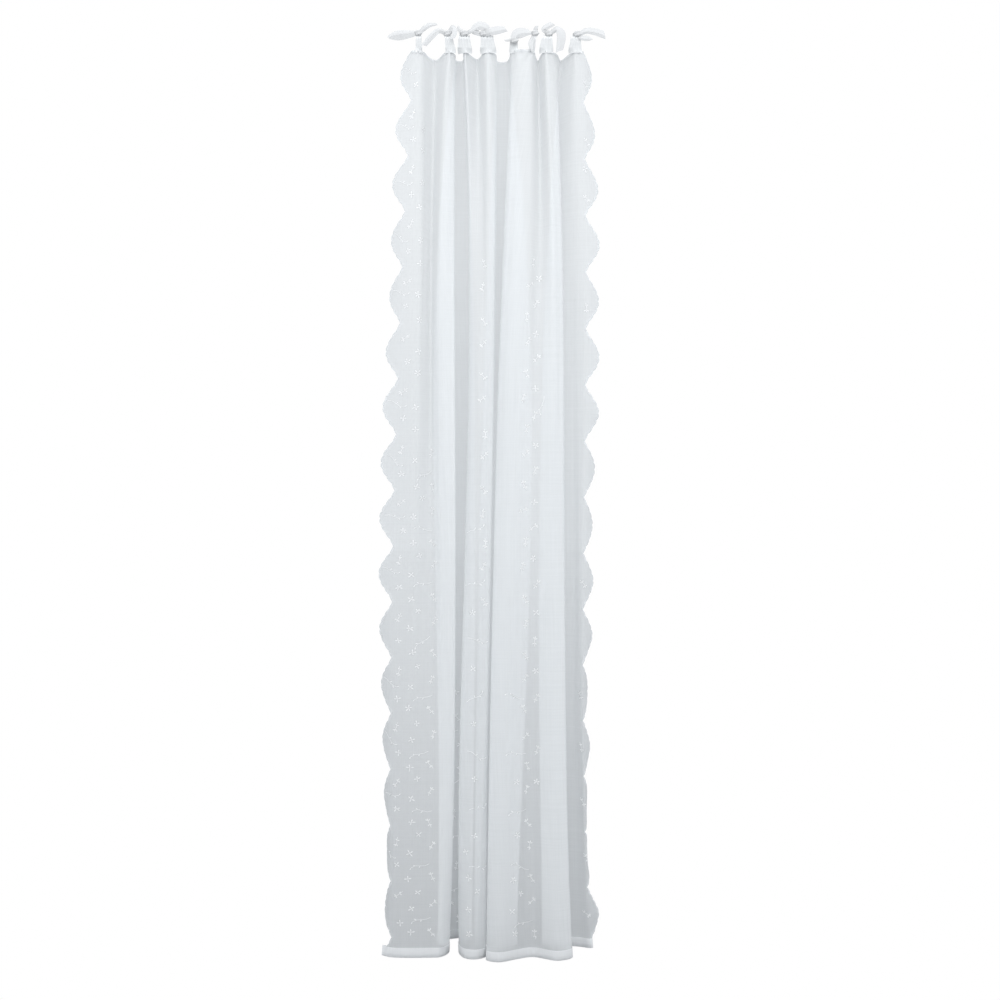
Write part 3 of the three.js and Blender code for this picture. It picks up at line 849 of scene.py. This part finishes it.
def make_tie(tie, loop_cloth_painted_light, end_cloth_painted_shade):
    """A knotted strap: its loop, sewn to the cloth at both ends, its knot and its free ends. The loop's cloth
    is painted lighter against the shade in and under it, and the knot's and ends' cloth is painted darker as
    painted shade.
    """
    straps = Ribbons()
    loop = catmull(loop_line(tie), LOOP["steps"])
    rise = np.clip((loop[:, 2] - TOP_Z) / (LOOP["top"] - TOP_Z), 0, 1)
    width = tie["width"] * (LOOP["gather"] + (LOOP["flare"] - LOOP["gather"]) * (1 - rise)**2)
    straps.add(loop, width, np.tile([1.0, 0.0, 0.0], (len(loop), 1)), pleats(rise))
    loop_faces = len(straps.faces)
    straps.points[0] = follow_cloth(straps.points[0].reshape(len(loop), -1, 3), tie).reshape(-1, 3)
    for route in tie["ends"]:
        line = catmull(route, END_FOLD["steps"])
        middle, width = line[:, :3], line[:, 3]
        along = np.gradient(middle, axis=0)
        across = np.cross(along, [0.0, -1.0, 0.0])
        across /= np.linalg.norm(across, axis=1)[:, None]
        straps.add(middle, width, across, end_fold(), END_FOLD["skew"])
    add_knot(straps, tie)
    piece = make_piece("strap_" + tie["name"], np.concatenate(straps.points), straps.faces,
                       np.concatenate(straps.flat), loop_cloth_painted_light)
    piece.data.materials.append(end_cloth_painted_shade)
    cloths = [int(k >= loop_faces) for k in range(len(straps.faces))]
    piece.data.polygons.foreach_set("material_index", cloths)
    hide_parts(tie["name"])


def add_knot(straps, tie):
    """The knot: a rounded lump with the strap's turns standing out as slanting ridges."""
    down = np.linspace(KNOT["pole"], math.pi - KNOT["pole"], KNOT["rings"])[:, None]
    around = np.linspace(0, 2 * math.pi, KNOT["around"] + 1)[None, :]
    slant = KNOT["round_turns"] * around + KNOT["down_turns"] * down
    turns = 1 + KNOT["turns"] * np.sin(slant) * np.sin(down)
    wide, deep, high = KNOT["half"]
    x = wide * np.sin(down) * np.cos(around) * turns
    y = deep * np.sin(down) * np.sin(around) * turns
    z = high * np.cos(down) * np.ones_like(around)
    grid = np.stack([x, y, z], axis=-1) + np.asarray(tie["knot"], dtype=float)
    flat = np.stack(np.broadcast_arrays(around * wide, down * high), axis=-1)
    straps.add_grid(grid, flat)
    straps.area += KNOT["cloth"]


def show_by_ray(link, add, output, direct, through, others):
    """Give one shader to the camera, another to it through cloth, and a third to all other rays."""
    path = add("ShaderNodeLightPath")
    behind_cloth = add("ShaderNodeMath", operation="GREATER_THAN")
    behind_cloth.inputs[1].default_value = 0.5  # more than no see-through layer on the way
    veil = add("ShaderNodeMixShader")
    seen = add("ShaderNodeMixShader")
    link(path.outputs["Transparent Depth"], behind_cloth.inputs[0])
    link(behind_cloth.outputs[0], veil.inputs["Fac"])
    link(direct, veil.inputs[1])
    link(through, veil.inputs[2])
    link(path.outputs["Is Camera Ray"], seen.inputs["Fac"])
    link(others, seen.inputs[1])
    link(veil.outputs["Shader"], seen.inputs[2])
    link(seen.outputs["Shader"], output.inputs["Surface"])


def make_floor():
    """A pale floor under the hanging cloth, white to the camera, with painted shade near the cloth in the
    light it gives back and in the grey it shows through the cloth.
    """
    half = FLOOR["half"]
    corners = [(-half, -half, 0), (half, -half, 0), (half, half, 0), (-half, half, 0)]
    mesh = bpy.data.meshes.new("floor")
    mesh.from_pydata(corners, [], [(0, 1, 2, 3)])
    material = bpy.data.materials.new("floor_pale")
    link, add = node_chain(material)
    plain = add("ShaderNodeBsdfDiffuse")
    pale = add("ShaderNodeEmission")
    pale.inputs["Color"].default_value = (*WHITE, 1)
    behind = add("ShaderNodeEmission")
    place = add("ShaderNodeTexCoord")
    reach = add("ShaderNodeVectorMath", operation="LENGTH")
    longer = add("ShaderNodeMath", operation="ADD")
    longer.inputs[1].default_value = FLOOR["fade"]
    fade = add("ShaderNodeMath", operation="DIVIDE")
    link(place.outputs["Object"], reach.inputs[0])
    link(reach.outputs["Value"], longer.inputs[0])
    link(reach.outputs["Value"], fade.inputs[0])
    link(longer.outputs[0], fade.inputs[1])
    # Painted shade: the light the floor gives back is darker near the cloth
    painted_shade_given_back = mix_colours(link, add, fade.outputs[0], FLOOR["near"], FLOOR["far"])
    # Painted shade seen through the cloth: the floor glows darker near the cloth
    ground = mix_colours(link, add, fade.outputs[0], PAINTED_SHADE_BEHIND["near"], PAINTED_SHADE_BEHIND["far"])
    link(painted_shade_given_back, plain.inputs["Color"])
    link(ground, behind.inputs["Color"])
    show_by_ray(link, add, add("ShaderNodeOutputMaterial"), pale.outputs["Emission"],
                behind.outputs["Emission"], plain.outputs["BSDF"])
    mesh.materials.append(material)
    floor = bpy.data.objects.new("floor", mesh)
    floor.location = (0, 0, (TOP_Z - DROP) * MM - FLOOR["gap"])
    bpy.context.collection.objects.link(floor)


def make_world():
    """The room's soft light, brighter from the front, with a white ground behind for the camera, and a
    glowing grey of painted shade, lighter higher up, behind the cloth as seen through it.
    """
    world = bpy.data.worlds.new("studio")
    bpy.context.scene.world = world
    link, add = node_chain(world)
    room = add("ShaderNodeBackground")
    white = add("ShaderNodeBackground")
    white.inputs["Color"].default_value = (*WHITE, 1)
    behind = add("ShaderNodeBackground")
    place = add("ShaderNodeTexCoord")
    parts = add("ShaderNodeSeparateXYZ")
    depth = add("ShaderNodeMapRange")
    depth.inputs["From Min"].default_value = -ROOM["turn"]
    depth.inputs["From Max"].default_value = ROOM["turn"]
    rise = add("ShaderNodeMapRange")
    rise.inputs["From Max"].default_value = PAINTED_SHADE_BEHIND["rise"]
    link(place.outputs["Generated"], parts.inputs[0])
    link(parts.outputs["Y"], depth.inputs["Value"])
    link(parts.outputs["Z"], rise.inputs["Value"])
    around = mix_colours(link, add, depth.outputs["Result"], ROOM["front"], ROOM["back"])
    # Painted shade seen through the cloth: a grey that glows lighter higher up
    painted_shade_wall = mix_colours(link, add, rise.outputs["Result"], PAINTED_SHADE_BEHIND["far"], PAINTED_SHADE_BEHIND["high"])
    link(around, room.inputs["Color"])
    link(painted_shade_wall, behind.inputs["Color"])
    show_by_ray(link, add, add("ShaderNodeOutputWorld"), white.outputs["Background"],
                behind.outputs["Background"], room.outputs["Background"])


def make_key_light():
    """A large soft light above and in front, turned to the cloth."""
    lamp = bpy.data.lights.new("key", "AREA")
    lamp.shape = "RECTANGLE"
    lamp.size, lamp.size_y = KEY_LIGHT["size"]
    lamp.energy = KEY_LIGHT["power"]
    light = bpy.data.objects.new("key", lamp)
    light.location = KEY_LIGHT["place"]
    direction = np.subtract(KEY_LIGHT["aim"], KEY_LIGHT["place"])
    yaw = math.atan2(direction[0], direction[1])
    pitch = math.atan2(direction[2], math.hypot(direction[0], direction[1]))
    light.rotation_euler = (math.pi / 2 + pitch, 0, -yaw)
    bpy.context.collection.objects.link(light)


def make_camera():
    """A camera straight on, with a lens that takes in the photo's width at its distance."""
    lens = bpy.data.cameras.new("camera")
    lens.sensor_width = VIEW["sensor"]
    lens.lens = VIEW["sensor"] * VIEW["distance"] / VIEW["width"]
    camera = bpy.data.objects.new("camera", lens)
    camera.location = (VIEW["x"], -VIEW["distance"], VIEW["z"])
    camera.rotation_euler = (math.pi / 2, 0, 0)
    bpy.context.collection.objects.link(camera)
    bpy.context.scene.camera = camera


make_camera()
make_world()
make_floor()
make_key_light()
bpy.context.scene.view_settings.view_transform = "Standard"

sheer_cloth = sheer_material("sheer_voile", dark=(0.82, 0.835, 0.845), light=(0.84, 0.855, 0.865),
                             opacity=0.53)
# The hem is the panel's cloth, doubled and so more opaque, with a whiter colour painted on as painted light
# against the dimmer light near the floor
turned_cloth_painted_lighter = sheer_material("turned_voile_painted_lighter", dark=(0.84, 0.85, 0.86), light=(0.88, 0.89, 0.90), opacity=0.87)
# The ties' one cloth in two copies: the loop's painted light against the shade in and under the loop, the
# knot's and ends' painted shade
loop_cloth_painted_light = sheer_material("loop_voile_painted_light", dark=(0.74, 0.75, 0.755), light=(0.78, 0.79, 0.795), opacity=0.94,
                            translucency=0.05)
end_cloth_painted_shade = sheer_material("end_voile_painted_shade", dark=(0.575, 0.58, 0.585), light=(0.625, 0.63, 0.635), opacity=0.94,
                           translucency=0.05)
rim_thread = sheer_material("stitched_rim", dark=(0.785, 0.80, 0.81), light=(0.805, 0.82, 0.83), opacity=0.5,
                            thread=0.0012)
white_thread = thread_material("white_thread", colour=(0.735, 0.74, 0.745), stitch=0.0009)

panel = make_panel(sheer_cloth)
hem_top, hem_middle, hem_low = DROP - HEM_DEPTH, DROP - HEM_DEPTH / 2, DROP - LAYER_ROUND
belly = LAYER_GAP * LAYER_BELLY
hem = make_turn("hem_turn", [
    (hem_top, LAYER_GAP), (hem_middle, belly), (hem_low, LAYER_GAP), (DROP, 0),
    (hem_low, -LAYER_GAP), (hem_middle, -belly), (hem_top, -LAYER_GAP),
], turned_cloth_painted_lighter)
heading = make_turn("heading_turn", [
    (0, 0), (LAYER_ROUND, LAYER_GAP), (HEADING_DEPTH / 2, belly), (HEADING_DEPTH, LAYER_GAP),
], sheer_cloth)
rims = [make_rim(side, rim_thread) for side in ("left", "right")]
sprigs = make_embroidery(white_thread)
seams = [make_seam("hem_seam", hem_top + STITCH["edge_gap"], white_thread),
         make_seam("heading_seam", HEADING_DEPTH - STITCH["edge_gap"], white_thread)]
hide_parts("panel")
for tie in TIES:
    make_tie(tie, loop_cloth_painted_light, end_cloth_painted_shade)
